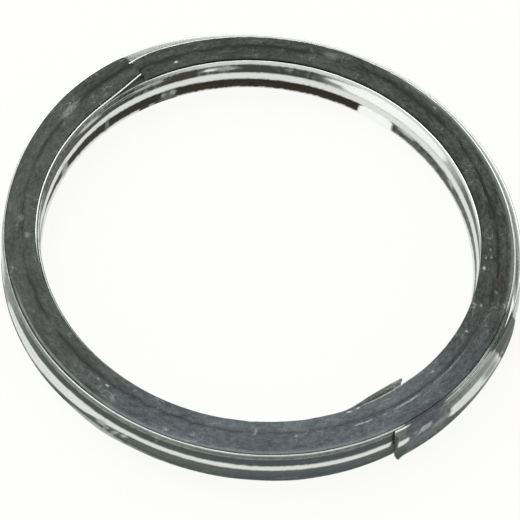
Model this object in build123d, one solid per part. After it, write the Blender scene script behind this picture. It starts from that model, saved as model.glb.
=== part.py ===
from build123d import *
import math
import os

# A spiral wound gasket for an exhaust pipe joint, in millimetres.
# One V-profile metal strip is wound about four times round the axis, with a graphite strip
# between its middle turns. The axis is Z, the lower graphite face lies on z = 0, and the strip
# runs clockwise, outwards, seen from above. Azimuths are degrees, anticlockwise from +X.

# Section
thickness = 4.1             # from graphite face to graphite face
edge_recess = 0.12          # how far the metal edges lie below the graphite faces
strip_gauge = 0.2           # metal thickness, measured along a radius
lip_height = 0.5            # upright edge above and below the V
vee_depth = 0.3             # how far the V stands out from the lips
vee_round = 1.6             # radius along the ridge of the V
lip_round = 0.5             # radius where the lip bends into the V

# Radii of the winding
bore_radius = 19.5          # inner face of the first turn
filler_width = 1.3          # graphite between two metal turns
turn_gap = 0.04             # gap between turns that lie metal on metal

# Where each stretch of the strip begins and ends
flap_root = -67.5           # the first turn leaves the bore inwards here
flap_bend = 2.6             # length of the bend at the root of the flap
flap_bend_radius = 7.1
flap_run = 4.5              # length of the nearly straight rest of the flap
flap_run_radius = 53.0      # it bows a little towards the bore
mark = 129.4                # both ends of the graphite
lap_climb = (-40.0, flap_root, 0.5)   # from, to, and the share of it that bends outwards
first_climb = (144.0, 119.0, 0.5)
second_climb = (158.0, 121.0, 0.68)
hump_climb = (185.0, mark, 0.5)       # the last wrap rises over the outer end of the graphite
hump_fall = (mark, 97.0, 0.5)
hump_height = 0.7
tail_crest = -13.0          # the tail stands farthest off the turn below here
tail_lift = 0.3
tail_climb = (60.0, tail_crest, 0.5)
tail_fall = (tail_crest, -44.0, 0.5)  # it comes back to the turn below
tail_end = -55.5            # where it is cut off

# Radii of the inner face of each turn
second_radius = bore_radius + strip_gauge + turn_gap
third_radius = bore_radius + strip_gauge + filler_width
fourth_radius = third_radius + strip_gauge + filler_width
hump_radius = fourth_radius + hump_height
fifth_radius = fourth_radius + strip_gauge + turn_gap
tail_radius = fifth_radius + tail_lift


def outward(azimuth):
    """The unit vector that points away from the axis at an azimuth."""
    return Vector(math.cos(math.radians(azimuth)), math.sin(math.radians(azimuth)))


def bearing(vector):
    """The azimuth of a vector."""
    return math.degrees(math.atan2(vector.Y, vector.X))


def turned(start, end):
    """The angle from one azimuth to another, between -180 and 180."""
    return (end - start + 180) % 360 - 180


# The path of the strip is a chain of tangent arcs. An arc is its centre, the radius of the strip's
# inner face about it (negative where the centre lies outside the ring), the azimuth of the strip's
# outward normal where it starts, and the angle that this normal turns through.


def round_arc(radius, start, end):
    """A stretch that is concentric with the ring, clockwise from start to end."""
    return [(Vector(0, 0), radius, start, -((start - end) % 360))]


def climb_arcs(radius, new_radius, climb):
    """Two tangent arcs that take the strip from one concentric circle to another."""
    start, end, share = climb
    sweep = (start - end) % 360
    length = math.radians(sweep) * (radius + new_radius) / 2
    first = 1 / (1 / radius - 2 * (new_radius - radius) / (share * length**2))
    centre = outward(start) * (radius - first)
    along = centre.dot(outward(end))
    second = first**2 - centre.dot(centre) + 2 * new_radius * along - new_radius**2
    second /= 2 * (along - new_radius + first)
    new_centre = outward(end) * (new_radius - second)
    middle = bearing((new_centre - centre) / (first - second))
    return [
        (centre, first, start, turned(start, middle)),
        (new_centre, second, middle, turned(middle, end)),
    ]


def flap_arcs():
    """The flap at the strip's start: a nearly straight run, then the bend that joins it to the bore."""
    bend_centre = outward(flap_root) * (bore_radius - flap_bend_radius)
    bend_sweep = math.degrees(flap_bend / flap_bend_radius)
    joint = flap_root + bend_sweep
    run_centre = bend_centre + outward(joint) * (flap_bend_radius + flap_run_radius)
    run_sweep = math.degrees(flap_run / flap_run_radius)
    return [
        (run_centre, -flap_run_radius, joint - run_sweep, run_sweep),
        (bend_centre, flap_bend_radius, joint, -bend_sweep),
    ]


def meets(arc, azimuth):
    """The azimuth of the strip's outward normal where an arc crosses an azimuth of the ring."""
    centre, radius, _, _ = arc
    along = centre.dot(outward(azimuth))
    reach = along + math.sqrt(along**2 - centre.dot(centre) + radius**2)
    return bearing((outward(azimuth) * reach - centre) * math.copysign(1, radius))


def ended_at(arc, azimuth):
    """The part of an arc before it crosses an azimuth of the ring."""
    centre, radius, start, _ = arc
    return [(centre, radius, start, turned(start, meets(arc, azimuth)))]


def begun_at(arc, azimuth):
    """The part of an arc after it crosses an azimuth of the ring."""
    centre, radius, start, sweep = arc
    crossing = meets(arc, azimuth)
    return [(centre, radius, crossing, sweep - turned(start, crossing))]


def vee_line(recess):
    """One side of a V-shaped section: a lip, the V with its rounded ridge, and a lip."""
    points = [
        (0, recess),
        (0, edge_recess + lip_height),
        (vee_depth, thickness / 2),
        (0, thickness - edge_recess - lip_height),
        (0, thickness - recess),
    ]
    return FilletPolyline(*points, radius=[lip_round, vee_round, lip_round])


def placed(line, arc, offset, share):
    """The edges of a section line, set upright where a share of an arc has gone by."""
    centre, radius, start, sweep = arc
    normal = outward(start + share * sweep)
    foot = centre + normal * (radius + offset)
    upright = Plane(foot, x_dir=normal, z_dir=normal.cross(Vector(0, 0, 1)))
    return (upright * line).edges()


def wall(line, arcs, offset):
    """The faces that a section line leaves along a chain of arcs, at an offset outwards."""
    faces = []
    for arc in arcs:
        spin = Axis(arc[0], (0, 0, math.copysign(1, arc[3])))
        faces += [Face.revolve(edge, abs(arc[3]), spin) for edge in placed(line, arc, offset, 0)]
    return faces


def rim(arcs, offset, height):
    """The edges that a chain of arcs draws at a height, at an offset outwards."""
    edges = []
    for centre, radius, start, sweep in arcs:
        first = start if radius > 0 else start + 180
        middle = (centre.X, centre.Y, height)
        edges += CenterArc(middle, abs(radius + offset), first, sweep).edges()
    return edges


def band(recess, inner_arcs, inner_offset, outer_arcs, outer_offset):
    """A closed solid between two chains of arcs, with V-shaped sides and flat rims."""
    line = vee_line(recess)
    faces = wall(line, inner_arcs, inner_offset) + wall(line, outer_arcs, outer_offset)
    rims = {}
    for height in (recess, thickness - recess):
        rims[height] = rim(inner_arcs, inner_offset, height) + rim(outer_arcs, outer_offset, height)
    for place, share in ((0, 0), (-1, 1)):
        inner_end = placed(line, inner_arcs[place], inner_offset, share)
        outer_end = placed(line, outer_arcs[place], outer_offset, share)
        faces += [Face.make_surface_from_curves(*pair) for pair in zip(inner_end, outer_end)]
        rims[recess].append(Edge.make_line(inner_end[0] @ 0, outer_end[0] @ 0))
        rims[thickness - recess].append(Edge.make_line(inner_end[-1] @ 1, outer_end[-1] @ 1))
    faces += [Face(Wire(edges)) for edges in rims.values()]
    return Solid(Shell(faces))


# The winding strip, from the tip of the flap to the end of the tail
first_turn = round_arc(bore_radius, flap_root, lap_climb[0])
lap = climb_arcs(bore_radius, second_radius, lap_climb)
second_turn = round_arc(second_radius, lap_climb[1], first_climb[0])
first_step = climb_arcs(second_radius, third_radius, first_climb)
third_turn = round_arc(third_radius, first_climb[1], second_climb[0])
second_step = climb_arcs(third_radius, fourth_radius, second_climb)
fourth_turn = round_arc(fourth_radius, second_climb[1], hump_climb[0])
hump = climb_arcs(fourth_radius, hump_radius, hump_climb)
settle = climb_arcs(hump_radius, fifth_radius, hump_fall)
fifth_turn = round_arc(fifth_radius, hump_fall[1], tail_climb[0])
spring = climb_arcs(fifth_radius, tail_radius, tail_climb)
tail = climb_arcs(tail_radius, fifth_radius, tail_fall)
tail += round_arc(fifth_radius, tail_fall[1], tail_end)
before_mark = flap_arcs() + first_turn + lap + second_turn
after_mark = settle + fifth_turn + spring + tail
path = before_mark + first_step + third_turn + second_step + fourth_turn + hump + after_mark
winding_strip = band(edge_recess, path, 0, path, strip_gauge)

# The graphite filler lies on the outside of the strip from the mark, twice round, to the mark
under = (
    round_arc(bore_radius, mark, lap_climb[0])
    + lap
    + second_turn
    + first_step
    + third_turn
    + second_step[:1]
    + ended_at(second_step[1], mark)
)
over = begun_at(first_step[1], mark) + third_turn + second_step + fourth_turn + hump
graphite_filler = band(0, under, strip_gauge, over, 0)

os.makedirs("parts", exist_ok=True)
export_step(winding_strip, "parts/winding_strip.step")
export_step(graphite_filler, "parts/graphite_filler.step")
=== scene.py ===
import bpy
import math
import numpy as np
from mathutils import Matrix


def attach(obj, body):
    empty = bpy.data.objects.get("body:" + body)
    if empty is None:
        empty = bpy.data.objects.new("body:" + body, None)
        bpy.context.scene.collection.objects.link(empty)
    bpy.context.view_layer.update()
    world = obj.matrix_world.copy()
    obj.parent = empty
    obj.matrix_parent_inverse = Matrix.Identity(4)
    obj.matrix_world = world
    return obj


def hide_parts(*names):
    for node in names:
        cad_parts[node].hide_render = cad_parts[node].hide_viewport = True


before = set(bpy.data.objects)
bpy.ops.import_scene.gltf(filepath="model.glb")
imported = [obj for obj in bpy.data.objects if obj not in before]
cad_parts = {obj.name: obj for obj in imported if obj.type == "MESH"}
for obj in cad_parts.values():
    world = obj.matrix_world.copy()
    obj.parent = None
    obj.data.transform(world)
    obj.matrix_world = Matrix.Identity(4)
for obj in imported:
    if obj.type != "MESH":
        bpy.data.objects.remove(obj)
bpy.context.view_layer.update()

# Lengths below are in millimetres and become metres when a mesh is made. The strip is wound
# clockwise and outwards, seen from above. "turn" is how far it is wound, in degrees from +X, so a
# point of the strip lies at the azimuth -turn.
metre = 0.001


# the section and the winding, which the strip and the graphite share
section = {
    "thickness": 4.1,       # graphite face to graphite face
    "edgeRecess": 0.12,     # metal edges below the graphite faces
    "gauge": 0.2,           # metal thickness
    "lipHeight": 0.5,       # upright edge above and below the V
    "veeDepth": 0.3,        # how far the V stands out
    "ridgeRound": 1.6,      # radius of the V's ridge
    "lipRound": 0.5,        # radius where a lip bends into the V
}

winding = {
    "boreRadius": 19.5,
    "fillerWidth": 1.3,
    "turnGap": 0.04,
    "flapRoot": 67.5,       # turn where the flap leaves the bore
    "flapBend": 2.6,        # length of the bend at the flap's root
    "flapBendRadius": 7.1,
    "flapRun": 4.5,         # length of the nearly straight rest
    "flapRunRadius": 53.0,
    "flapMiddle": 19.23,    # its mean radius
    # turns where the strip leaves one circle and reaches the next, and the share that bends away
    "lap": (400, 427.5, 0.5),
    "firstClimb": (576, 601, 0.5),
    "secondClimb": (922, 959, 0.68),
    "hump": (1255, 1310.6, 0.5),
    "settle": (1310.6, 1343, 0.5),
    "spring": (1380, 1448, 0.5),
    "fall": (1448, 1476, 0.5),
    "humpHeight": 0.7,      # over the outer end of the graphite
    "tailLift": 0.3,        # how far the tail stands off
    "stripEnd": 1495.2,
    "graphiteStart": 230.6, # it ends two laps later
}
doubled = section["gauge"] + winding["turnGap"]         # from a turn to one that lies on it
spaced = section["gauge"] + winding["fillerWidth"]      # from a turn to one beyond graphite
flapAngle = math.degrees((winding["flapBend"] + winding["flapRun"]) / winding["flapMiddle"])
stripStart = winding["flapRoot"] - flapAngle
stripEnd = winding["stripEnd"]
middle = section["thickness"] / 2


def climb(turn, step):
    # 0 before the step and 1 after it; between, two parabolas that meet at its share
    first, last, share = step
    t = np.clip((turn - first) / (last - first), 0, 1)
    return np.where(t < share, t * t / share, 1 - (1 - t) ** 2 / (1 - share))


def flapLift(turn):
    # how far the flap stands off the bore's circle: one parabola along its bend, and another
    # along the run, tangent to it
    w = winding
    length = np.radians(np.maximum(w["flapRoot"] - turn, 0)) * w["flapMiddle"]
    bend = np.minimum(length, w["flapBend"])
    run = np.maximum(length - w["flapBend"], 0)
    into = 1 / w["flapBendRadius"] - 1 / w["boreRadius"]
    back = 1 / w["flapRunRadius"] + 1 / w["boreRadius"]
    return into * bend * (bend / 2 + run) - back * run ** 2 / 2


def stripRadius(turn):
    # bore radius, plus each climb so far, less each fall and the lift of the flap
    w = winding
    return (
        w["boreRadius"]
        + doubled * climb(turn, w["lap"])
        + (spaced - doubled) * climb(turn, w["firstClimb"])
        + spaced * climb(turn, w["secondClimb"])
        + w["humpHeight"] * climb(turn, w["hump"])
        - (w["humpHeight"] - doubled) * climb(turn, w["settle"])
        + w["tailLift"] * (climb(turn, w["spring"]) - climb(turn, w["fall"]))
        - flapLift(turn)
    )


def vee(height):
    # how far the V stands out at a height: a straight slope from the ridge, rounded there by a
    # hyperbola, and eased into the upright lips by another
    s = section
    flank = middle - s["edgeRecess"] - s["lipHeight"]
    slope = s["veeDepth"] / flank
    ridgeEase = s["ridgeRound"] * slope
    lipEase = s["lipRound"] * slope
    out = s["veeDepth"] - slope * np.sqrt((height - middle) ** 2 + ridgeEase ** 2)
    return (out + np.sqrt(out ** 2 + (lipEase * slope) ** 2)) / 2


def grain(x, y, seed):
    # smooth random values from -1 to 1 that change about once a unit: random numbers on a
    # lattice, joined by smoothstep
    size = 512
    lattice = np.random.default_rng(seed).uniform(-1, 1, (size, size))
    column = np.floor(x).astype(int)
    row = np.floor(y).astype(int)
    u = x - column
    v = y - row
    u = u * u * (3 - 2 * u)
    v = v * v * (3 - 2 * v)
    across = (column + 1) % size
    up = (row + 1) % size
    column = column % size
    row = row % size
    near = lattice[column, row] * (1 - u) + lattice[across, row] * u
    far = lattice[column, up] * (1 - u) + lattice[across, up] * u
    return near * (1 - v) + far * v


def within(value, low, high, blur):
    # 1 between low and high, 0 outside, with straight ramps of width blur centred on the limits
    rise = np.clip((value - low) / blur + 0.5, 0, 1)
    fall = np.clip((high - value) / blur + 0.5, 0, 1)
    return np.minimum(rise, fall)


def azimuthOf(turn):
    # between -180 and 180
    return (180 - turn) % 360 - 180


def pointAt(turn, radius):
    # x and y at a turn, so far from the axis
    angle = np.radians(-turn)
    return radius * np.cos(angle), radius * np.sin(angle)


def byPlace(rows, where):
    # straight lines between the rows of a table
    table = np.array(rows)
    return np.interp(where, table[:, 0], table[:, 1])


def sweptPiece(name, points, fields):
    # a closed section (second index) carried along a path (first index), with a face at each end
    stations, count, _ = points.shape
    index = np.arange(stations * count).reshape(stations, count)
    here = index[:-1]
    ahead = index[1:]
    quads = np.stack([here, np.roll(here, -1, 1), np.roll(ahead, -1, 1), ahead], -1).reshape(-1, 4)
    faces = quads.tolist() + [index[0][::-1].tolist(), index[-1].tolist()]
    mesh = bpy.data.meshes.new(name)
    mesh.from_pydata((points.reshape(-1, 3) * metre).tolist(), [], faces)
    for field, values in fields.items():
        kind = "FLOAT_VECTOR" if values.ndim == 3 else "FLOAT"
        key = "vector" if values.ndim == 3 else "value"
        layer = mesh.attributes.new(field, kind, "POINT")
        layer.data.foreach_set(key, values.reshape(-1).astype(np.float32))
    mesh.polygons.foreach_set("use_smooth", [True] * len(mesh.polygons))
    mesh.update()
    piece = bpy.data.objects.new(name, mesh)
    bpy.context.scene.collection.objects.link(piece)
    return piece


def hexLinear(code):
    # an sRGB hex colour as linear red, green and blue
    value = np.array([int(code[i:i + 2], 16) for i in (0, 2, 4)]) / 255
    linear = np.where(value < 0.04045, value / 12.92, ((value + 0.055) / 1.055) ** 2.4)
    return (*linear.tolist(), 1.0)


def addNode(tree, kind, settings=None, links=None):
    # one node: settings are properties or, by socket name or number, values, with a colour as its
    # hex code; links feed sockets
    node = tree.nodes.new(kind)
    for key, value in (settings or {}).items():
        if isinstance(key, str) and hasattr(node, key):
            setattr(node, key, value)
        else:
            node.inputs[key].default_value = hexLinear(value) if isinstance(value, str) else value
    for key, source in (links or {}).items():
        tree.links.new(source, node.inputs[key])
    return node


def newMaterial(name):
    made = bpy.data.materials.new(name)
    made.use_nodes = True
    tree = made.node_tree
    tree.nodes.clear()
    return made, tree


# the wound stainless strip: its mesh, and how its edges and ends are bent and torn
strip = {
    "seenStep": 0.55,       # degrees of turn between sections where a side shows
    "hiddenStep": 2.5,      # and where graphite or another turn covers it
    "sideRows": 30,         # points down each side of the section
    "edgeRows": 5,          # points round each slit edge
    "edgeCrown": 0.06,      # how far a slit edge is rounded
    "wobble": 0.012,        # waviness of the sides, in long and short waves
    "waves": (3, 1.3),
    "edgeWobble": 0.02,     # waviness of the slit edges
    "edgeWave": 2.2,
    "tear": 1.1,            # degrees by which the tail's lower corner is torn back
    "tornLength": 5.0,      # degrees of the tail that the tear takes up
    "tornHeight": 1.2,      # and its height
    "curl": 0.25,           # how far the torn corner stands out
    "tailAskew": 0.35,      # degrees by which the cut at the tail leans
    "flapAskew": 0.8,       # and the cut at the flap, over so many degrees
    "flapCut": 3.0,
    "foot": (1436, 1454, 0.5),      # turns between which the tail's lower edge bends outwards
    "footSpread": 0.55,
    "burr": (1199, 5, 0.15, 0.9),   # turn, half width, depth and height of a burr below
    # how far the lower lip of the last turns stands out, by turn
    "lipSpread": [
        (1098, 0), (1122, .28), (1157, .3), (1167, .19), (1190, .15), (1202, .17), (1225, .32),
        (1250, .38), (1262, .2), (1285, 0), (1420, 0), (1440, .05), (1496, .05),
    ],
    "lipReach": 1.6,        # height up to which the lip is bent
    "lipDrop": 0.07,        # how much lower it hangs where it stands out
}
overTop = 9                 # a height above the section

# How dark the steel is painted: 0 is bare, 1 is black with smeared graphite and, on the V's
# slopes, with painted dark reflections; -1 is a painted white highlight. Each row is an
# azimuth and the film there.
dirtAndPaintedLight = {
    "innerLip": [
        (-180, .85), (-10, .85), (2, .35), (14, .12), (112, .12), (124, .55), (136, .95), (147, .75),
        (156, .95), (180, .9),
    ],
    "innerSlope": [
        (-180, .6), (0, .95), (22, .95), (29, .6), (35, .3), (37, .1), (67, .1), (74, .6), (81, .95),
        (92, 1), (104, 1.15), (105, .88), (113, .9), (115, 1.1), (124, 1.1), (125, .93), (134, .95),
        (136, 1.1), (150, 1.35), (168, 1.4), (174, 1.15), (180, .95),
    ],
    "innerLow": [(-180, .6), (0, .8), (30, .85), (55, .88), (66, 1.15), (123, 1.15), (180, 1.1)],
    "innerBrown": [(0, .7), (55, .7), (66, 1), (180, .9)],
    "outerLip": [
        (-180, .9), (-158, .88), (-150, .74), (-115, .76), (-104, .8), (-54, .84), (-53, .8),
        (-41, .76), (-26, .6), (-14, .38), (0, .3), (180, .4),
    ],
    "outerSlope": [
        (-180, .5), (-155, .7), (-146, .9), (-138, 1), (-125, 1.02), (-53, .97), (-41, .84),
        (-26, .66), (-14, .42), (0, .3), (180, .35),
    ],
    "outerLow": [
        (-180, .6), (-170, .8), (-141, .85), (-126, .95), (-112, .97), (-42, .97), (-39, .98),
        (-14, .6), (0, .3), (180, .2),
    ],
    # heights that the films reach, by azimuth
    "innerLipFrom": 3.52,
    "innerSlopeFrom": [(0, 2), (110, 2.12), (140, 2.2), (165, 2), (180, 1.75)],
    "innerLowTo": [(0, 1.3), (66, 1.28), (110, 1.32), (150, 1.5), (180, 1.15)],
    "innerLowFrom": [(0, .9), (33, .32), (123, .3), (131, .5), (141, .5), (165, .72), (180, 1.05)],
    # dark lines under the lip and on the ridge: film, two heights, two azimuths
    "innerLines": [(.6, 3.52, 3.62, 36, 122), (.5, 2, 2.12, 38, 80)],
    "outerLipFrom": 3.35,
    "outerSlopeFrom": [(-150, 2.35), (-125, 2.62), (-90, 2.58), (-56, 2.5), (-52, 2.5)],
    "outerLowTo": [
        (-180, .2), (-170, .28), (-144, .32), (-139, .45), (-130, .75), (-124, 1.05), (-121, 1.6),
        (-112, 2.05), (-90, 2), (-60, 1.85), (-41, 1.7), (-39, 1), (-30, .6), (-22, .5), (0, .6),
    ],
    "outerLowFrom": [(-142, -.5), (-127, -.5), (-120, .35), (-110, .4), (-100, .2), (-56, .2)],
    # slit edges, by turn: smeared graphite, and painted shade where an edge lies down in the seam
    "edge": [
        (46, .1), (47, .2), (48, .85), (66, .9), (130, .9), (150, .75), (165, .55), (176, .7),
        (186, .92), (220, .9), (228, .8), (236, .15), (346, .12), (358, .85), (505, .85), (520, .5),
        (532, .12), (601, .08), (612, 1), (930, 1), (948, .1), (985, .1), (1060, .3), (1090, .5),
        (1093, .5), (1095, 1.1), (1104, 1.1), (1106, .65), (1118, .6), (1121, 1), (1132, 1),
        (1134, .35), (1200, .4), (1215, .55), (1230, .75), (1262, .7), (1290, .04), (1345, .04),
        (1385, .3), (1440, .35), (1453, .5), (1454.5, 1.3), (1464, 1.3), (1465.5, .62), (1481, .6),
        (1482.5, 1), (1491.5, 1), (1492.5, .1), (1496, .1),
    ],
    "edgeBrown": [
        (70, .8), (71, 0), (150, 0), (160, .7), (190, .7), (200, 0), (1215, 0), (1230, .5),
        (1265, .5), (1280, 0), (1454, 0), (1455, .4), (1464, .4), (1465, 0),
    ],
    "edgeViolet": [(1121, 1132), (1482, 1491)],
    # the inner side shows up to boreTo and the outer side from outsideFrom; the rest is covered and
    # pale as far as tailFrom. Hidden rows are two turns, film, brown and violet, later over earlier.
    # Their white (-1) and light films, made matt, paint light into the shaded gaps between turns
    "boreTo": 432,
    "outsideFrom": 1132,
    "tailFrom": 1494,
    "hidden": [
        (0, 930, .8, .4, 0), (930, 1496, -1, 0, 0), (1089, 1106, .3, .4, 0), (1449, 1465, .3, .4, 0),
        (1117, 1134, .45, 0, .5), (1479, 1491, .45, 0, .5), (1494, 1496, .8, .5, 0),
        (0, 68, 0, .35, 0),
    ],
    # patches laid over the films: azimuth and height of the centre, half sizes, lean in degrees per
    # millimetre of height, how square it is (2 is a lens, 8 a box), softness, film, brown, violet;
    # a film of -1 is a painted highlight, and dark films are smeared graphite and painted reflection
    "inner": [
        (61.2, .62, 5.4, .62, 0, 8, .12, -1, 0, 0),
        (53.5, 2.85, 18, .74, -1.6, 4, .2, -1, 0, 0),
        (71.5, 3, 5, .3, 0, 2, 1.2, -.6, 0, 0),
        (106, 2.95, 4.5, .38, 0, 2, .9, .6, .3, 0),
        (110.4, 2.95, 1.9, .24, -1, 2, 1, 0, 0, 0),
        (136, 3.42, 12, .07, 0, 3, .6, .45, 0, 0),
        (133, 3, 10, .07, 0, 3, .8, .65, 0, 0),
        (150.4, 3.3, 4.4, .42, 5.5, 3, .9, .42, 0, 0),
        (131, 3.25, 3.4, .14, 3, 2, .9, .55, 0, 0),
        (126, 3.2, 1.6, .3, 0, 2, .9, .6, 0, 0),
        (162.3, 1, 1.6, .6, -1, 2, 1.2, .6, .1, 0),
        (143, .95, .9, .6, -1, 2, 1.2, .85, .4, 0),
        (125.8, .22, 6, .33, 0, 9, .1, 1, .8, 0),
        (122.6, .75, 2.6, .6, -1, 3, .9, .9, .6, 0),
        (121, .95, .8, .25, 0, 2, 1.2, .65, .2, 0),
        (124, 1, .7, .2, 0, 2, 1.2, .7, .2, 0),
        (127.6, .3, .8, .2, 0, 2, .9, .6, .2, 0),
        (88, 3.1, 1, .3, 0, 2, .9, .75, .3, 0),
        (50.5, 1.12, 3, .16, 0, 2, .8, .4, .3, 0),
        (30.5, 1.12, 1.5, .22, 0, 2, 1, .55, .3, 0),
    ],
    "outer": [
        (-163.5, 1.6, 8.6, 3.2, 2.2, 9, .3, .8, .3, 0),
        (-167.5, 2, 6, 1.15, 1, 3, .8, .15, .2, 0),
        (-168, .85, 9, .85, .8, 4, .5, .1, .1, 0),
        (-159, .2, 14, .2, 0, 8, .4, .95, .3, 0),
        (-159, 1.2, 1.6, 1.4, 2.2, 3, .8, .72, .3, 0),
        (-33.5, 1.65, 5.5, .6, -1.3, 3, .9, .18, .1, 0),
        (-25.5, 1.6, 3.2, .9, -1.4, 3, .9, .75, .2, 0),
        (-53.7, 3.25, 1.5, .62, 0, 6, .2, .86, .75, 0),
        (-54.9, 2.4, .5, .8, 0, 4, .4, 1, .3, 0),
        (-47.3, 3.2, 4.9, 1.25, -.35, 8, .1, .97, 0, .75),
        (-42, 2.6, 1.2, 1.1, -.6, 4, .5, .86, .1, .2),
        (-47, 1.1, 5.2, .95, -.5, 8, .2, .95, 0, .4),
        (-46.7, 3.35, 1.5, .5, 0, 2, .7, 1.15, 0, 1),
        (-49.9, 2.35, .5, .35, -1, 3, .6, .8, 0, .5),
        (-47.5, 2.5, 1.7, .36, 1.6, 3, .3, .66, .2, .4),
        (-44, 1.95, 1.6, .3, -1, 3, .6, .78, 0, .6),
        (-50.6, 2.2, 1.2, .3, 0, 3, .5, .9, 0, .3),
        (-41.2, 3, .5, 1, -1, 4, .6, .9, .5, 0),
        (-18.4, 3.3, 4.8, 1.4, -1.2, 9, .06, 1.4, .35, 0),
        (-15.2, .95, 5.2, 1.3, -1.7, 9, .06, 1.45, .35, 0),
        (-19.6, 1.1, .4, .8, -1.7, 3, .7, .5, .1, 0),
        (-19, 2.1, 1.2, .55, -1.2, 2, .8, 1, .35, 0),
        (-17, 3.2, 1, .3, -1.2, 2, .9, 1.15, .35, 0),
        (-121, .28, 7, .2, 0, 3, .6, .5, .4, 0),
        (-113.4, 1.5, .6, .5, 1.2, 2, .9, .5, 0, 0),
        (-115.8, 1.1, .5, .7, 1.6, 2, .9, .6, 0, 0),
        (-118.2, .9, .4, .6, 1.6, 2, .9, .7, 0, 0),
        (-119, 1.5, 1.2, .6, 1, 3, .9, .55, 0, 0),
        (-106.2, 3.1, .3, .25, 0, 2, 1, .82, 0, 0),
    ],
}


def lipsLine():
    # offsets and heights round the section: down the outside, round, up the inside, round
    s = section
    top = s["thickness"] - s["edgeRecess"] - strip["edgeCrown"]
    bottom = s["edgeRecess"] + strip["edgeCrown"]
    down = np.linspace(top, bottom, strip["sideRows"])
    bend = np.linspace(0, np.pi, strip["edgeRows"] + 2)[1:-1]
    half = s["gauge"] / 2
    crown = strip["edgeCrown"] * np.sin(bend)
    offset = np.concatenate([
        vee(down) + s["gauge"], half + half * np.cos(bend),
        vee(down[::-1]), half - half * np.cos(bend)])
    height = np.concatenate([down, bottom - crown, down[::-1], top + crown])
    return offset, height


def stripTurns():
    # close together where a side shows: the bore's far side, and the outside's near side
    knots = [stripStart, 185, 365, 1125, 1255, 1370, stripEnd]
    steps = [strip["hiddenStep"], strip["seenStep"]] * 3
    parts = [np.arange(first, last, step) for first, last, step in zip(knots, knots[1:], steps)]
    return np.concatenate(parts + [[stripEnd]])


def makeStrip():
    # point(turn, s) = the strip's path at that turn, plus the section's offset at s and each bend
    # along the path's outward normal, at the section's height at s; s goes once round the section
    offset, height = lipsLine()
    turn = stripTurns()[:, None] + 0 * height
    height = height + 0 * turn
    offset = offset + 0 * turn
    # both ends are cut a little askew, and the tail's lower corner is torn
    toTail = np.clip((turn - stripEnd + strip["tornLength"]) / strip["tornLength"], 0, 1)
    toFlap = np.clip((stripStart + strip["flapCut"] - turn) / strip["flapCut"], 0, 1)
    corner = np.clip((strip["tornHeight"] - height) / strip["tornHeight"], 0, 1)
    ragged = 0.35 * grain(height * 5, 0 * height, 3) * corner
    upperEdge = section["thickness"] - section["edgeRecess"]
    turn = turn - toTail ** 2 * strip["tear"] * (corner ** 2 * 0.6 + ragged)
    turn = turn + toTail ** 2 * strip["tailAskew"] * (height - upperEdge) / upperEdge
    turn = turn - toFlap ** 2 * strip["flapAskew"] * (height - middle) / middle
    # the outward normal, from a second point a little further along
    nudge = 0.01
    radius = stripRadius(turn)
    x, y = pointAt(turn, radius)
    aheadX, aheadY = pointAt(turn + nudge, stripRadius(turn + nudge))
    along = np.stack([aheadX - x, aheadY - y], -1)
    along /= np.linalg.norm(along, axis=-1, keepdims=True)
    outward = np.stack([-along[..., 1], along[..., 0]], -1)
    # what bends it outwards: waves, the torn corner, the foot, the burr and the lip
    long, short = strip["waves"]
    sway = grain(x / long, y / long, 11) + 0.5 * grain(x / short + height, y / short, 12)
    sway = strip["wobble"] * sway
    curl = strip["curl"] * toTail ** 3 * corner ** 2
    flare = (1 - height / section["thickness"]) ** 2
    foot = strip["footSpread"] * climb(turn, strip["foot"]) * flare
    burrTurn, burrWidth, burrDepth, burrHeight = strip["burr"]
    burr = burrDepth * np.exp(-((turn - burrTurn) / burrWidth) ** 2)
    burr = burr * np.clip(1 - height / burrHeight, 0, 1) ** 2
    spread = byPlace(strip["lipSpread"], turn)
    share = np.clip(1 - height / strip["lipReach"], 0, 1) ** 1.5
    bend = offset + sway + curl + (foot + burr + spread * share)
    flat = np.stack([x, y], -1) + outward * bend[..., None]
    wave = strip["edgeWave"]
    lift = strip["edgeWobble"] * grain(x / wave, y / wave, 13) * np.abs(height - middle) / middle
    # the lip hangs lower where it stands out, in full from 0.06 mm
    drop = strip["lipDrop"] * share * np.clip(spread / 0.06, 0, 1)
    level = height - np.abs(lift) * np.sign(height - middle) - drop
    points = np.concatenate([flat, level[..., None]], -1)
    fields = stripFields(turn, height, offset)
    # place: millimetres along the strip, up it and outwards, for the patterns
    fields["place"] = np.stack([np.radians(turn) * radius, height, offset], -1)
    return sweptPiece("woundStrip", points, fields)


def patched(ground, rows, azimuth, height):
    # lays each patch over the ground, full inside its outline |a|^n + |b|^n = 1 and fading beyond
    for centre, level, long, high, lean, square, soft, film, brown, violet in rows:
        across = np.abs((azimuth - centre - lean * (height - level)) / long)
        up = np.abs((height - level) / high)
        outline = (across ** square + up ** square) ** (1 / square)
        cover = np.clip((1 + soft / 2 - outline) / soft, 0, 1)
        cover = (cover * cover * (3 - 2 * cover))[..., None]
        ground = ground * (1 - cover) + np.array([film, brown, violet]) * cover
    return ground


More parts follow.
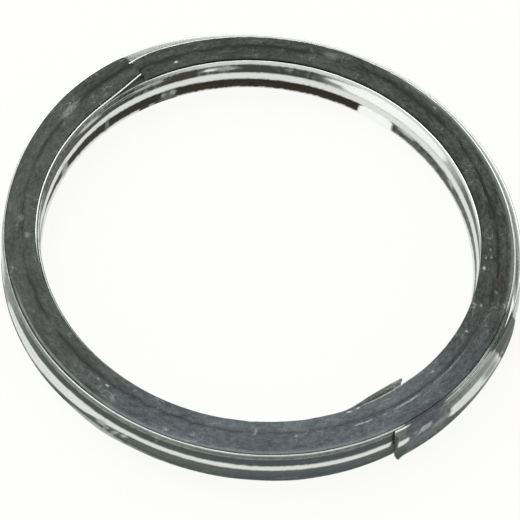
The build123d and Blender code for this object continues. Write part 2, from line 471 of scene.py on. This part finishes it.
def boreDirtAndPaintedLight(turn, height, azimuth, where, level):
    # inside the bore: lip, dark slope, bare ridge, thick brown film below. The slope's dark is
    # smeared graphite and painted dark reflection
    lipFrom = dirtAndPaintedLight["innerLipFrom"]
    lip = byPlace(dirtAndPaintedLight["innerLip"], where) * within(level, lipFrom, overTop, 0.1)
    slopeFrom = byPlace(dirtAndPaintedLight["innerSlopeFrom"], where)
    slope = byPlace(dirtAndPaintedLight["innerSlope"], where) * within(level, slopeFrom, lipFrom, 0.2)
    lowFrom = byPlace(dirtAndPaintedLight["innerLowFrom"], where)
    lowFrom = lowFrom + 0.05 * np.clip(grain(turn * 2.2, 0 * turn, 7), -1, 1)
    lowTo = byPlace(dirtAndPaintedLight["innerLowTo"], where)
    low = byPlace(dirtAndPaintedLight["innerLow"], where) * within(level, lowFrom, lowTo, 0.14)
    film = np.maximum(lip + slope, low)
    for shade, bottom, top, first, last in dirtAndPaintedLight["innerLines"]:
        line = within(level, bottom, top, 0.1) * within(azimuth, first, last, 6)
        film = np.maximum(film, shade * line)
    brown = byPlace(dirtAndPaintedLight["innerBrown"], azimuth)
    brown = brown * (1 - 0.4 * within(level, 1.8, overTop, 0.3) * within(azimuth, -20, 114, 8))
    streak = 0.14 * grain(turn * 2.4, height * 0.8, 8) + 0.06 * grain(turn * 6, height * 1.5, 9)
    streak = streak * within(azimuth, 80, 185, 8)
    ground = np.stack([film * (1 + streak) + 0.04, brown, 0 * brown], -1)
    return patched(ground, dirtAndPaintedLight["inner"], where, level)


def outsideDirtAndPaintedLight(azimuth, where, level):
    # outside: grey lip, dark slope, bare ridge, dark lower slope, thinner film under it. The slopes
    # are smeared graphite and painted dark reflection; the lower slope and the film under it also
    # paint the shade of the floor close below
    lipFrom = dirtAndPaintedLight["outerLipFrom"]
    lip = byPlace(dirtAndPaintedLight["outerLip"], where) * within(level, lipFrom, overTop, 0.3)
    slopeFrom = byPlace(dirtAndPaintedLight["outerSlopeFrom"], where)
    slope = byPlace(dirtAndPaintedLight["outerSlope"], where) * within(level, slopeFrom, lipFrom, 0.16)
    lowFrom = byPlace(dirtAndPaintedLight["outerLowFrom"], where)
    lowTo = byPlace(dirtAndPaintedLight["outerLowTo"], where)
    low = within(level, lowFrom, lowTo, 0.2) + 0.62 * within(level, -1, lowFrom, 0.2)
    film = np.maximum(lip + slope, byPlace(dirtAndPaintedLight["outerLow"], where) * low)
    ground = np.stack([film + 0.05, 0 * film, 0.3 * within(azimuth, -100, -52, 20)], -1)
    return patched(ground, dirtAndPaintedLight["outer"], where, level)


def stripFields(turn, height, offset):
    # the film field: how much film, partly painted dark reflection, and how brown or violet it is;
    # below 0 a painted white highlight. pale: 1 in the gaps between turns, made matt there to
    # show the light painted into them
    azimuth = azimuthOf(turn)
    side = (offset - vee(height)) / section["gauge"]        # 0 on the inner side, 1 on the outer
    stir = 0.5 * grain(turn * 1.1, height * 3, 5) + 0.5 * grain(turn * 3.3, height * 7, 6)
    where = azimuth + 0.35 * stir
    level = height + 0.05 * stir
    inner = boreDirtAndPaintedLight(turn, height, azimuth, where, level)
    outer = outsideDirtAndPaintedLight(azimuth, where, level)
    film = byPlace(dirtAndPaintedLight["edge"], turn + 0.3 * stir)
    brown = byPlace(dirtAndPaintedLight["edgeBrown"], turn)
    violet = 0.6 * sum(within(turn, first, last, 1) for first, last in dirtAndPaintedLight["edgeViolet"])
    edge = np.stack([film, brown, violet], -1)
    hidden = 0 * edge
    for first, last, *colour in dirtAndPaintedLight["hidden"]:
        hidden = np.where(((turn >= first) & (turn < last))[..., None], colour, hidden)
    onInner = side < 0.03
    onOuter = side > 0.97
    inBore = onInner & (turn < dirtAndPaintedLight["boreTo"])
    outside = onOuter & (turn > dirtAndPaintedLight["outsideFrom"])
    covered = (onInner | onOuter) & ~inBore & ~outside
    filmAndPaintedLight = np.where(inBore[..., None], inner, np.where(outside[..., None], outer, edge))
    filmAndPaintedLight = np.where(covered[..., None], hidden, filmAndPaintedLight)
    return {"dirtAndPaintedLight": filmAndPaintedLight, "pale": 1.0 * (covered & (turn <= dirtAndPaintedLight["tailFrom"]))}


stripPiece = makeStrip()
print("strip made:", len(stripPiece.data.polygons), "faces")


# the graphite between the turns
graphite = {
    "stationStep": 0.42,    # degrees of turn between sections
    "topRows": 30,          # points across the upper face
    "bottomRows": 9,        # and across the lower one
    "sideRows": 5,          # points up each side
    "sideGap": 0.015,       # clearance to the metal
    "relief": 0.05,         # unevenness of the pressed faces, with flakes of these sizes
    "flakeSizes": (1.1, 0.45, 0.2),
    "edgeFall": 0.005,      # how far the faces drop at their edges
    "crack": 0.002,         # width of the crack between neighbouring turns of graphite
    "tongue": 13.0,         # degrees by which it reaches back, sunk, into the wedge at its start
    "tongueTop": 3.92,
    "tongueStep": 1.0,      # degrees between its sections
    "leastWidth": 0.02,
    "overhang": 0.004,      # from a side's end to the underside of the face that spreads over it
    "endLength": 2.0,       # degrees of the outer end that are rounded
    "nick": (446.4, 447.4, 0.14),       # turns and depth of a nick in its edge over the bore
    # radius of the seam by turn round the first lap
    "seam": [
        (230, 21.1), (243, 21.15), (262, 21.3), (320, 21.27), (333, 21.05), (360, 21.08),
        (378, 20.85), (405, 20.7), (430, 20.58), (475, 20.6), (496, 20.68), (506, 20.84), (530, 21),
        (546, 21.25), (565, 21.33), (576, 21.6), (590, 22),
    ],
    # how far it spreads over the bore's edge, by turn
    "cover": [
        (345, 0), (360, .17), (400, .2), (406, .27), (414, .36), (420, .44), (428, .46), (436, .4),
        (450, .38), (480, .3), (512, .22), (530, .06), (560, .02), (576, 0),
    ],
    # how dark its painted shade is along the seam, by azimuth
    "seamDark": [
        (-180, .7), (-172, .7), (-168, .3), (-158, .4), (-155, 1.3), (-146, 1.1), (-143, .15),
        (-140, .2), (-138, 1.4), (-125, 1.1), (-120, .7), (-90, .5), (-60, .3), (-30, .35),
        (-24, .2), (-12, .3), (0, .7), (3, .8), (9, .5), (11, .95), (24, 1), (28, .6), (34, .9),
        (60, 1.2), (71, 1.2), (73, .35), (83, .3), (85, 1.2), (92, 1.3), (128, 1.4), (145, 1.2),
        (150, .15), (154, .3), (156, 1.4), (167, 1.4), (169, .35), (176, .4), (180, .7),
    ],
    # and along the bore's edge
    "grooveDark": [
        (-20, 0), (0, .5), (30, .7), (60, .8), (90, .9), (110, .8), (128, .6), (130, .2), (180, .2),
    ],
    # light flakes and scratches, and painted glints of metal along the seam and on the flap:
    # azimuth, radius, half sizes in degrees and mm, lean, strength
    "flakes": [
        (119.2, 20.5, .5, .17, 0, .8), (-3.5, 19.9, .45, .13, 0, .8),
        (-23.6, 20.25, .25, .15, 0, .5), (-36, 19.8, .3, .1, 0, .5), (-38.4, 20.2, .3, .08, 0, .4),
        (-121.5, 21, .35, .1, 0, .8), (-124.2, 21, .3, .08, 0, .5), (129, 22.3, .45, .12, 0, .7),
        (48, 21.95, .6, .12, 0, .35), (-76.3, 21.15, .15, .35, 0, .45),
        (-85.7, 20.8, .2, .6, -.8, .35), (-10, 21.3, .5, .2, -1, .15), (2.3, 20.35, .25, .12, 0, .5),
        (-.3, 20, .25, .12, 0, .45), (.1, 20.45, .25, .12, 0, .45), (-62.5, 19.72, .9, .08, 0, .8),
        (-60.2, 19.62, .5, .07, 0, .8), (-15, 20.4, .3, .15, 0, .35), (151, 21.6, 3.6, .35, 0, .22),
        (-174, 21.2, 1, .3, 0, .2), (-169, 20.6, .8, .25, 0, .2), (78, 21.6, 2, .5, 0, .13),
        (-137.8, 20, .2, .3, .8, .4), (-60.4, 21.05, 2.5, .06, 0, .6), (-55, 21.04, .8, .06, 0, .5),
        (-48.5, 21.04, 4, .06, 0, .55), (-34.5, 21.03, 8, .05, 0, .25),
    ],
    # dark pits, painted as shade: the same
    "pits": [
        (-139, 20.7, 1.2, .16, 0, .6), (-128, 20.75, 1.4, .12, 0, .5), (-149, 21, .8, .16, 0, .7),
        (-155.5, 20.85, .5, .25, 0, .6), (-171, 21.1, 1, .12, 0, .6), (-177, 21, .8, .12, 0, .6),
        (164, 21.4, 2.4, .12, 0, .7), (138, 21.85, 7, .22, 0, .55), (65, 21.6, 8, .28, 0, .4),
        (-58, 20.6, 9, .2, 0, .2), (-45, 20.68, 10, .22, 0, .27), (-31, 20.76, 9, .24, 0, .34),
        (6.1, 21.12, 2.6, .1, 0, 1), (-3.6, 21.15, 2.8, .11, 0, 1), (-12, 21.1, 3, .2, 0, .5),
        (14.5, 21.1, 2.5, .09, 0, .8), (26, 21.1, 2.2, .11, 0, .9), (34, 21.2, 2, .1, 0, .8),
        (16, 22.05, 2.5, .1, 0, .5), (-144, 21.95, 4, .15, 0, .35), (-126, 22, 3, .15, 0, .35),
        (-9, 22, 4, .2, 0, .3), (133, 20.2, 1.8, .3, 0, .5), (20, 21.05, 5, .14, 0, .6),
        (100, 20.9, 6, .3, 0, .3), (95, 21.4, 6, .14, 0, .5), (102, 20.2, 16, .7, 0, .22),
        (141, 22.3, 10, .5, 0, .22), (-148, 20.95, 1.6, .2, 0, .5), (-132, 20.7, 5, .2, 0, .4),
        (-47, 22.3, 5, .4, 0, .3), (-139, 22.1, 5.5, .25, 0, .6), (-123.5, 22.1, 4.5, .22, 0, .6),
        (-168, 21.95, 9, .3, 0, .3), (-20, 22.2, 4.5, .4, 0, .35),
    ],
}


def marksOver(rows, azimuth, radius):
    # each mark is a lens: 1.25 - a^2 - b^2, kept between 0 and 1, times its strength
    total = 0 * azimuth
    for centre, middleRadius, long, wide, lean, strength in rows:
        along = (azimuth - centre - lean * (radius - middleRadius)) / long
        across = (radius - middleRadius) / wide
        total = np.maximum(total, strength * np.clip(1.25 - along ** 2 - across ** 2, 0, 1))
    return total


def wander(turn):
    # how far a graphite edge strays
    return 0.06 * grain(turn * 0.35, 0 * turn, 24) + 0.03 * grain(turn * 1.3, 0 * turn, 25)


def faceEdges(turn):
    # radii where the graphite face ends on each side. The graphite spreads over the metal edge
    # between its two turns until only a crack is left, and at the front over the bore's edge.
    start = winding["graphiteStart"]
    least = graphite["leastWidth"]
    firstLap = turn < start + 360
    lap = np.where(firstLap, turn, turn - 360)
    seam = byPlace(graphite["seam"], lap) + wander(lap)
    inner = stripRadius(turn) + section["gauge"]
    outer = stripRadius(turn + 360)
    width = 0.75 + 0.6 * grain(turn * 2.1, 0 * turn, 21) + 0.4 * grain(turn * 5.1, 0 * turn, 22)
    width = graphite["crack"] * width
    faceOuter = np.where(firstLap, seam - width / 2, outer - graphite["sideGap"])
    cover = byPlace(graphite["cover"], turn)
    first, last, depth = graphite["nick"]
    nick = depth * within(turn, first, last, 0.6)
    cover = cover + 0.03 * wander(turn) * (cover > 0.1) - nick
    faceInner = np.where(firstLap, inner - cover, seam + width / 2)
    # the tongue and the ends keep to the metal and are rounded
    tongue = turn < start
    faceInner = np.where(tongue, inner + least, faceInner)
    faceOuter = np.where(tongue, outer - least, faceOuter)
    ending = np.clip((turn - (start + 720)) / graphite["endLength"] + 1, 0, 1)
    faceOuter = faceOuter - 0.35 * ending ** 3
    return inner, outer, faceInner, np.maximum(faceOuter, faceInner + least), ending


def nearEdge(distance, width):
    # 1 at an edge, falling off from it as a bell
    return np.exp(-(np.maximum(distance, 0) / width) ** 2)


def graphiteTone(turn, radius, faceInner, faceOuter):
    # tone: x is how light it is, y how dark, and z how strong its bluish light rim
    start = winding["graphiteStart"]
    azimuth = azimuthOf(turn) + 0 * radius
    stir = 0.5 * grain(turn * 1.5, radius * 5, 51) + 0.5 * grain(turn * 4, radius * 11, 52)
    firstLap = turn < start + 360
    fromSeam = np.where(firstLap, faceOuter - radius, radius - faceInner)
    fromRim = np.where(firstLap, radius - faceInner, faceOuter - radius)
    # painted shade along the seam's groove and the bore's edge, and in pits
    wider = np.maximum(within(azimuth, 40, 147, 8), within(azimuth, -140, -118, 6))
    broken = 0.85 + 0.6 * stir + 0.4 * grain(turn * 0.45, 0 * radius, 54)
    seamDark = nearEdge(fromSeam, 0.19 + 0.1 * stir + 0.07 * wider) * np.clip(broken, 0, 1.4)
    seamDark = np.minimum(seamDark * byPlace(graphite["seamDark"], azimuth), 0.85)
    groove = nearEdge(fromRim, 0.15) * firstLap * byPlace(graphite["grooveDark"], azimuth)
    pits = marksOver(graphite["pits"], azimuth + 0.8 * stir, radius)
    dark = np.clip(np.maximum(seamDark, groove) + pits, 0, 1)
    # the sunk tongue at its start is painted dark as shade
    dark = np.where(turn < start, 0.3, dark)
    # light on flakes, a painted highlight on the edge beside the flap, and painted sheen at the
    # front and left
    light = marksOver(graphite["flakes"], azimuth + 0.3 * stir, radius + 0.02 * stir)
    besideFlap = within(azimuth, -58, -46.6, 4) * firstLap
    light = np.maximum(light, 0.8 * nearEdge(fromRim, 0.07) * besideFlap)
    light = light * np.clip(0.9 + 0.7 * grain(turn * 3, radius * 9, 53), 0.2, 1.3)
    sheenLift = 0.025 * within((azimuth + 360) % 360, 150, 240, 25)
    sheenLift = sheenLift + 0.045 * within(azimuth, -95, -30, 15) * firstLap
    light = light + sheenLift * (1 + 0.6 * stir)
    # the rim of the second lap
    line = np.exp(-((fromRim - 0.14) / 0.07) ** 2)
    rim = nearEdge(fromRim, 0.18) * within(azimuth, -122, -55, 6)
    rim = np.maximum(rim, 1.3 * line * within(azimuth, -154, -121, 8))
    rim = np.maximum(rim, nearEdge(fromRim, 0.25) * within(azimuth, -12, 62, 16))
    return np.stack([light, dark, np.where(firstLap, 0, rim)], -1)


def makeGraphite():
    # point(turn, s): s goes once round the section, out over the upper face, down the outer side,
    # in under the lower face and up the inner side. A side's radius is the strip's, plus the V at
    # that height and a clearance. A face runs straight from edge to edge, less its relief.
    start = winding["graphiteStart"]
    tongue = np.arange(start - graphite["tongue"], start - 0.1, graphite["tongueStep"])
    laps = np.linspace(start, start + 720, int(720 / graphite["stationStep"]))
    turn = np.concatenate([tongue, [start - 0.02], laps])[:, None]
    inner, outer, faceInner, faceOuter, ending = faceEdges(turn)
    inner = inner + graphite["sideGap"]
    outer = np.maximum(outer - graphite["sideGap"], inner + graphite["leastWidth"])
    outer = outer - 0.3 * ending ** 3
    # the face sinks a little at both ends
    beginning = np.clip((start + 1.5 - turn) / 1.5, 0, 1)
    tall = np.where(turn < start, graphite["tongueTop"], section["thickness"])
    tall = tall - 0.25 * ending ** 2 - 0.12 * beginning ** 2

    def ring(radius, height):
        x, y = pointAt(turn, radius)
        return np.stack([x, y, height + 0 * radius], -1)

    def face(atTop):
        # crowned, with the relief of pressed flakes
        across = np.linspace(0, 1, graphite["topRows" if atTop else "bottomRows"])
        radius = faceInner + (faceOuter - faceInner) * across
        x, y = pointAt(turn, radius)
        seed = 31 if atTop else 41
        relief = 0.5
        for extra, size in enumerate(graphite["flakeSizes"]):
            relief = relief + 0.3 * grain(x / size, y / size, seed + extra)
        fromEdge = np.minimum(across, 1 - across)
        fall = graphite["edgeFall"] * np.clip(1 - fromEdge / 0.12, 0, 1) ** 2
        drop = graphite["relief"] * np.clip(relief, 0, 1.4) + fall
        return ring(radius, (tall - drop) if atTop else drop)

    ledge = section["edgeRecess"] - graphite["sideGap"]
    low = ledge - graphite["overhang"]
    sideHeight = ledge + (tall - 2 * ledge) * np.linspace(0, 1, graphite["sideRows"])
    upInner = ring(inner + vee(sideHeight), sideHeight)
    upOuter = ring(outer + vee(sideHeight), sideHeight)
    points = np.concatenate([
        face(True),
        ring(faceOuter, tall - low),
        upOuter[:, ::-1],
        ring(faceOuter, low + 0 * tall),
        face(False)[:, ::-1],
        ring(faceInner, low + 0 * tall),
        upInner,
        ring(faceInner, tall - low)], 1)
    radius = np.hypot(points[..., 0], points[..., 1])
    tone = graphiteTone(turn, radius, faceInner, faceOuter)
    # place: millimetres along the winding, outwards and up, for the patterns
    along = np.radians(turn) * winding["boreRadius"] + 0 * radius
    place = np.stack([along, radius, points[..., 2]], -1)
    return sweptPiece("graphiteTurns", points, {"tone": tone, "place": place})


graphitePiece = makeGraphite()
print("graphite made:", len(graphitePiece.data.polygons), "faces")


# Patterns are given per millimetre, and two colours are the dark and light ones of a pattern.
steel = {
    "bare": ("D3D8D3", "F1F3EF"),
    "paintedHighlight": "FAFDF9",              # painted white highlight
    "greyFilm": ("3A433F", "59645F"),
    "brownFilm": ("1E1C12", "46423A"),
    "violetFilm": ("42434E", "5E5F6B"),
    "lines": (0.3, 11.0, 1.0),      # 3.3 mm long and 0.09 mm wide, coarser than real ones, to show
    "smears": 2.2,                  # about 0.5 mm wide
    "roughness": (0.2, 0.5),        # bare, and under full film
}


def stainlessStrip():
    # stainless steel strip, cold rolled and slit: bright, with fine lines along it. Smeared graphite
    # and exhaust soot on the slopes of the V, with painted dark reflections there, leave its ridge
    # and edges bare; painted white highlights and matt gaps stand in for light
    made, tree = newMaterial("rolledStainlessSteel")
    place, filmAndPaintedLight, pale = (addNode(tree, "ShaderNodeAttribute", {"attribute_name": field})
                           for field in ("place", "dirtAndPaintedLight", "pale"))
    parts = addNode(tree, "ShaderNodeSeparateXYZ", {}, {0: filmAndPaintedLight.outputs["Vector"]})
    lines = addNode(tree, "ShaderNodeMapping", {"Scale": steel["lines"]},
                    {"Vector": place.outputs["Vector"]})
    streaks = addNode(tree, "ShaderNodeTexNoise", {"Scale": 1.0, "Detail": 4.0, "Roughness": 0.65},
                      {"Vector": lines.outputs[0]})
    smears = addNode(tree, "ShaderNodeTexNoise",
                     {"Scale": steel["smears"], "Detail": 6.0, "Roughness": 0.68},
                     {"Vector": place.outputs["Vector"]})
    # film is worn through along the rolling lines and in spots
    lined = addNode(tree, "ShaderNodeMath", {"operation": "MULTIPLY_ADD", 1: 0.5, 2: -0.25},
                    {0: streaks.outputs["Fac"]})
    uneven = addNode(tree, "ShaderNodeMath", {"operation": "MULTIPLY_ADD", 1: 0.55},
                     {0: smears.outputs["Fac"], 2: lined.outputs[0]})
    centred = addNode(tree, "ShaderNodeMath", {"operation": "SUBTRACT", 1: 0.275},
                      {0: uneven.outputs[0]})
    present = addNode(tree, "ShaderNodeMapRange", {"From Min": 0.02, "From Max": 0.3},
                      {"Value": parts.outputs[0]})
    varied = addNode(tree, "ShaderNodeMath", {"operation": "MULTIPLY_ADD"},
                     {0: centred.outputs[0], 1: present.outputs[0], 2: parts.outputs[0]})
    film = addNode(tree, "ShaderNodeMapRange", {}, {"Value": varied.outputs[0]})
    # film below 0 paints a white highlight over the bare steel
    paintedHighlightShare = addNode(tree, "ShaderNodeMapRange", {"From Min": -0.05, "From Max": -0.9},
                     {"Value": parts.outputs[0]})
    # each kind of surface varies between two colours, and one is laid over another
    kinds = []
    for look, pattern in (("bare", streaks), ("greyFilm", smears), ("brownFilm", smears),
                          ("violetFilm", smears)):
        dark, light = steel[look]
        kinds.append(addNode(tree, "ShaderNodeMix", {"data_type": "RGBA", 6: dark, 7: light},
                             {0: pattern.outputs["Fac"]}).outputs[2])
    bare, grey, brown, violet = kinds
    paintedHighlight = addNode(tree, "ShaderNodeMix", {"data_type": "RGBA", 7: steel["paintedHighlight"]},
                    {0: paintedHighlightShare.outputs[0], 6: bare})
    browned = addNode(tree, "ShaderNodeMix", {"data_type": "RGBA"},
                      {0: parts.outputs[1], 6: grey, 7: brown})
    soot = addNode(tree, "ShaderNodeMix", {"data_type": "RGBA"},
                   {0: parts.outputs[2], 6: browned.outputs[2], 7: violet})
    colour = addNode(tree, "ShaderNodeMix", {"data_type": "RGBA"},
                     {0: film.outputs[0], 6: paintedHighlight.outputs[2], 7: soot.outputs[2]})
    smooth, dull = steel["roughness"]
    rough = addNode(tree, "ShaderNodeMapRange", {"To Min": smooth, "To Max": dull},
                    {"Value": film.outputs[0]})
    metal = addNode(tree, "ShaderNodeMapRange", {"To Min": 1.0, "To Max": 0.1},
                    {"Value": pale.outputs["Fac"]})
    bump = addNode(tree, "ShaderNodeBump", {"Strength": 0.2, "Distance": 0.00001},
                   {"Height": streaks.outputs["Fac"]})
    shader = addNode(tree, "ShaderNodeBsdfPrincipled", {},
                     {"Base Color": colour.outputs[2], "Roughness": rough.outputs[0],
                      "Metallic": metal.outputs[0], "Normal": bump.outputs[0]})
    addNode(tree, "ShaderNodeOutputMaterial", {}, {"Surface": shader.outputs[0]})
    return made


foil = {
    "plain": ("11130F", "51564F"),
    # painted sheen towards the front, its dark and light colours
    "frontSheen": ("3A4145", "6A7378"),
    "scratch": "B9C1C0",
    "rim": "9FA8A6",
    # painted shade in the seam, the bore's edge groove, pits and the sunk tongue
    "crevice": "080B08",
    # light flakes, with painted glints and sheen laid in the same colour
    "lightFlakeAndGlint": "D2DCD9",
    "stretch": (0.55, 1.0, 1.0),    # the mottle is longer along the winding
    "mottle": 1.1,                  # about 0.9 mm wide
    "flakes": 3.4,                  # 0.3 mm
    "specks": 9.0,                  # 0.1 mm
    "scratches": 0.75,              # about 1.3 mm apart
    "frontSheenSide": (0.276, -0.961, 0.0),
    "frontSheenFrom": 0.009,           # metres from the axis towards that side
    "frontSheenTo": 0.0215,
    "roughness": (0.4, 0.7),
}


def flexibleGraphite():
    # expanded graphite foil, pressed: matt dark grey, mottled where flakes lie differently, and
    # painted greyer and bluer towards the front as sheen
    made, tree = newMaterial("pressedExpandedGraphite")
    where = addNode(tree, "ShaderNodeTexCoord")
    forward = addNode(tree, "ShaderNodeVectorMath",
                      {"operation": "DOT_PRODUCT", 1: foil["frontSheenSide"]},
                      {0: where.outputs["Object"]})
    frontSheen = addNode(tree, "ShaderNodeMapRange",
                      {"From Min": foil["frontSheenFrom"], "From Max": foil["frontSheenTo"],
                       "interpolation_type": "SMOOTHSTEP"},
                      {"Value": forward.outputs["Value"]})
    place = addNode(tree, "ShaderNodeAttribute", {"attribute_name": "place"})
    along = addNode(tree, "ShaderNodeMapping", {"Scale": foil["stretch"]},
                    {"Vector": place.outputs["Vector"]})
    toned = addNode(tree, "ShaderNodeAttribute", {"attribute_name": "tone"})
    parts = addNode(tree, "ShaderNodeSeparateXYZ", {}, {0: toned.outputs["Vector"]})
    # three sizes of mottle summed about a half
    mottle = addNode(tree, "ShaderNodeTexNoise",
                     {"Scale": foil["mottle"], "Detail": 3.0, "Roughness": 0.6},
                     {"Vector": along.outputs[0]})
    flakes = addNode(tree, "ShaderNodeTexNoise",
                     {"Scale": foil["flakes"], "Detail": 3.0, "Roughness": 0.65},
                     {"Vector": along.outputs[0]})
    specks = addNode(tree, "ShaderNodeTexNoise",
                     {"Scale": foil["specks"], "Detail": 2.0, "Roughness": 0.6},
                     {"Vector": place.outputs["Vector"]})
    total = addNode(tree, "ShaderNodeMath", {"operation": "MULTIPLY_ADD", 1: 1.6, 2: -2.25},
                    {0: mottle.outputs["Fac"]})
    for pattern, strength in ((flakes, 2.3), (specks, 1.5)):
        total = addNode(tree, "ShaderNodeMath", {"operation": "MULTIPLY_ADD", 1: strength},
                        {0: pattern.outputs["Fac"], 2: total.outputs[0]})
    value = addNode(tree, "ShaderNodeMapRange", {"From Min": -0.1, "From Max": 1.1},
                    {"Value": total.outputs[0]})
    ends = []
    for plain, sheenColour in zip(foil["plain"], foil["frontSheen"]):
        ends.append(addNode(tree, "ShaderNodeMix", {"data_type": "RGBA", 6: plain, 7: sheenColour},
                            {0: frontSheen.outputs[0]}).outputs[2])
    dark, light = ends
    colour = addNode(tree, "ShaderNodeMix", {"data_type": "RGBA"},
                     {0: value.outputs[0], 6: dark, 7: light})
    # thin light scratches, where a broad noise crosses its middle value
    hairs = addNode(tree, "ShaderNodeTexNoise", {"Scale": foil["scratches"], "Detail": 1.5},
                    {"Vector": place.outputs["Vector"]})
    apart = addNode(tree, "ShaderNodeMath", {"operation": "SUBTRACT", 1: 0.5},
                    {0: hairs.outputs["Fac"]})
    thin = addNode(tree, "ShaderNodeMath", {"operation": "ABSOLUTE"}, {0: apart.outputs[0]})
    hair = addNode(tree, "ShaderNodeMapRange", {"From Min": 0.009, "From Max": 0.002},
                   {"Value": thin.outputs[0]})
    some = addNode(tree, "ShaderNodeMapRange", {"From Min": 0.5, "From Max": 0.64, "To Max": 0.5},
                   {"Value": mottle.outputs["Fac"]})
    hairy = addNode(tree, "ShaderNodeMath", {"operation": "MULTIPLY"},
                    {0: hair.outputs[0], 1: some.outputs[0]})
    rim = addNode(tree, "ShaderNodeMath", {"operation": "MULTIPLY", 1: 0.45}, {0: parts.outputs[2]})
    for share, look in ((hairy.outputs[0], "scratch"), (rim.outputs[0], "rim"),
                        (parts.outputs[1], "crevice"), (parts.outputs[0], "lightFlakeAndGlint")):
        colour = addNode(tree, "ShaderNodeMix", {"data_type": "RGBA", 7: foil[look]},
                         {0: share, 6: colour.outputs[2]})
    smooth, dull = foil["roughness"]
    rough = addNode(tree, "ShaderNodeMapRange", {"To Min": smooth, "To Max": dull},
                    {"Value": flakes.outputs["Fac"]})
    bump = addNode(tree, "ShaderNodeBump", {"Strength": 0.7, "Distance": 0.00006},
                   {"Height": flakes.outputs["Fac"]})
    shader = addNode(tree, "ShaderNodeBsdfPrincipled", {"Specular IOR Level": 0.3},
                     {"Base Color": colour.outputs[2], "Roughness": rough.outputs[0],
                      "Normal": bump.outputs[0]})
    addNode(tree, "ShaderNodeOutputMaterial", {}, {"Surface": shader.outputs[0]})
    return made


stripPiece.data.materials.append(stainlessStrip())
graphitePiece.data.materials.append(flexibleGraphite())
for piece, node, slot in ((stripPiece, "winding_strip", "stainless_strip"),
                          (graphitePiece, "graphite_filler", "flexible_graphite")):
    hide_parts(node)
    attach(piece, "root")
print("materials made")


# the studio, in metres and watts
studio = {
    "floorSize": 1.2,
    "paper": "FAFAF8",
    "white": "FFFFFD",      # what the camera sees round the object
    "floorGlow": 0.9,       # its share in what the camera sees of the floor
    "skyStrength": 0.75,
    "lampPower": 0.9,
    "lampSize": 0.35,
    "lampPlace": (-0.18, 0.22, 0.42),
}


def backgroundRays(tree):
    # 1 for what the camera sees, directly or in a mirror or a lens
    path = addNode(tree, "ShaderNodeLightPath")
    seen = addNode(tree, "ShaderNodeMath", {"operation": "MAXIMUM"},
                   {0: path.outputs["Is Camera Ray"], 1: path.outputs["Is Glossy Ray"]})
    return addNode(tree, "ShaderNodeMath", {"operation": "MAXIMUM"},
                   {0: seen.outputs[0], 1: path.outputs["Is Transmission Ray"]})


def makeFloor():
    half = studio["floorSize"] / 2
    corners = [(-half, -half, 0), (half, -half, 0), (half, half, 0), (-half, half, 0)]
    mesh = bpy.data.meshes.new("floor")
    mesh.from_pydata(corners, [], [(0, 1, 2, 3)])
    floor = bpy.data.objects.new("floor", mesh)
    bpy.context.scene.collection.objects.link(floor)
    made, tree = newMaterial("whitePaper")
    seen = backgroundRays(tree)
    share = addNode(tree, "ShaderNodeMath", {"operation": "MULTIPLY", 1: studio["floorGlow"]},
                    {0: seen.outputs[0]})
    paper = addNode(tree, "ShaderNodeBsdfDiffuse", {"Color": studio["paper"]})
    white = addNode(tree, "ShaderNodeEmission", {"Color": studio["white"]})
    both = addNode(tree, "ShaderNodeMixShader", {},
                   {0: share.outputs[0], 1: paper.outputs[0], 2: white.outputs[0]})
    addNode(tree, "ShaderNodeOutputMaterial", {}, {"Surface": both.outputs[0]})
    mesh.materials.append(made)


def makeSky():
    world = bpy.data.worlds.new("studio")
    bpy.context.scene.world = world
    world.use_nodes = True
    tree = world.node_tree
    tree.nodes.clear()
    seen = backgroundRays(tree)
    level = addNode(tree, "ShaderNodeMapRange", {"To Min": studio["skyStrength"], "To Max": 1.0},
                    {"Value": seen.outputs[0]})
    sky = addNode(tree, "ShaderNodeBackground", {"Color": studio["white"]},
                  {"Strength": level.outputs[0]})
    addNode(tree, "ShaderNodeOutputWorld", {}, {"Surface": sky.outputs[0]})


def poseMatrix(side, up, away, place):
    # a lamp or camera at a place, with its back turned to away
    rows = np.column_stack([side, up, away, place]).tolist()
    return Matrix(rows + [[0, 0, 0, 1]])


def makeLamp():
    light = bpy.data.lights.new("softbox", "AREA")
    light.shape = "SQUARE"
    light.size = studio["lampSize"]
    light.energy = studio["lampPower"]
    lamp = bpy.data.objects.new("softbox", light)
    place = np.array(studio["lampPlace"])
    away = place / np.linalg.norm(place)
    side = np.cross((0, 0, 1), away)
    side /= np.linalg.norm(side)
    lamp.matrix_world = poseMatrix(side, np.cross(away, side), away, place)
    bpy.context.scene.collection.objects.link(lamp)


# the camera, in degrees and millimetres
lens = {
    "elevation": 55.161,
    "roll": 7.316,
    "distance": 154.505,
    "aim": (0.2, -0.656, 0.044),
    "focalPixels": 1714.83,     # focal length in pixels of an image of this width
    "imagePixels": 520,
    "sensor": 36.0,
    "clipStart": 0.005,         # metres
}


def makeCamera():
    rise = math.radians(lens["elevation"])
    roll = math.radians(lens["roll"])
    away = np.array([0, -math.cos(rise), math.sin(rise)])
    level = np.array([1.0, 0, 0])
    upright = np.cross(away, level)
    side = math.cos(roll) * level + math.sin(roll) * upright
    up = -math.sin(roll) * level + math.cos(roll) * upright
    place = (np.array(lens["aim"]) + lens["distance"] * away) * metre
    data = bpy.data.cameras.new("camera")
    data.sensor_width = lens["sensor"]
    data.lens = lens["focalPixels"] / lens["imagePixels"] * lens["sensor"]
    data.clip_start = lens["clipStart"]
    camera = bpy.data.objects.new("camera", data)
    camera.matrix_world = poseMatrix(side, up, away, place)
    bpy.context.scene.collection.objects.link(camera)
    bpy.context.scene.camera = camera


makeFloor()
makeSky()
makeLamp()
makeCamera()
bpy.context.scene.view_settings.view_transform = "Standard"
print("floor, light and camera made")
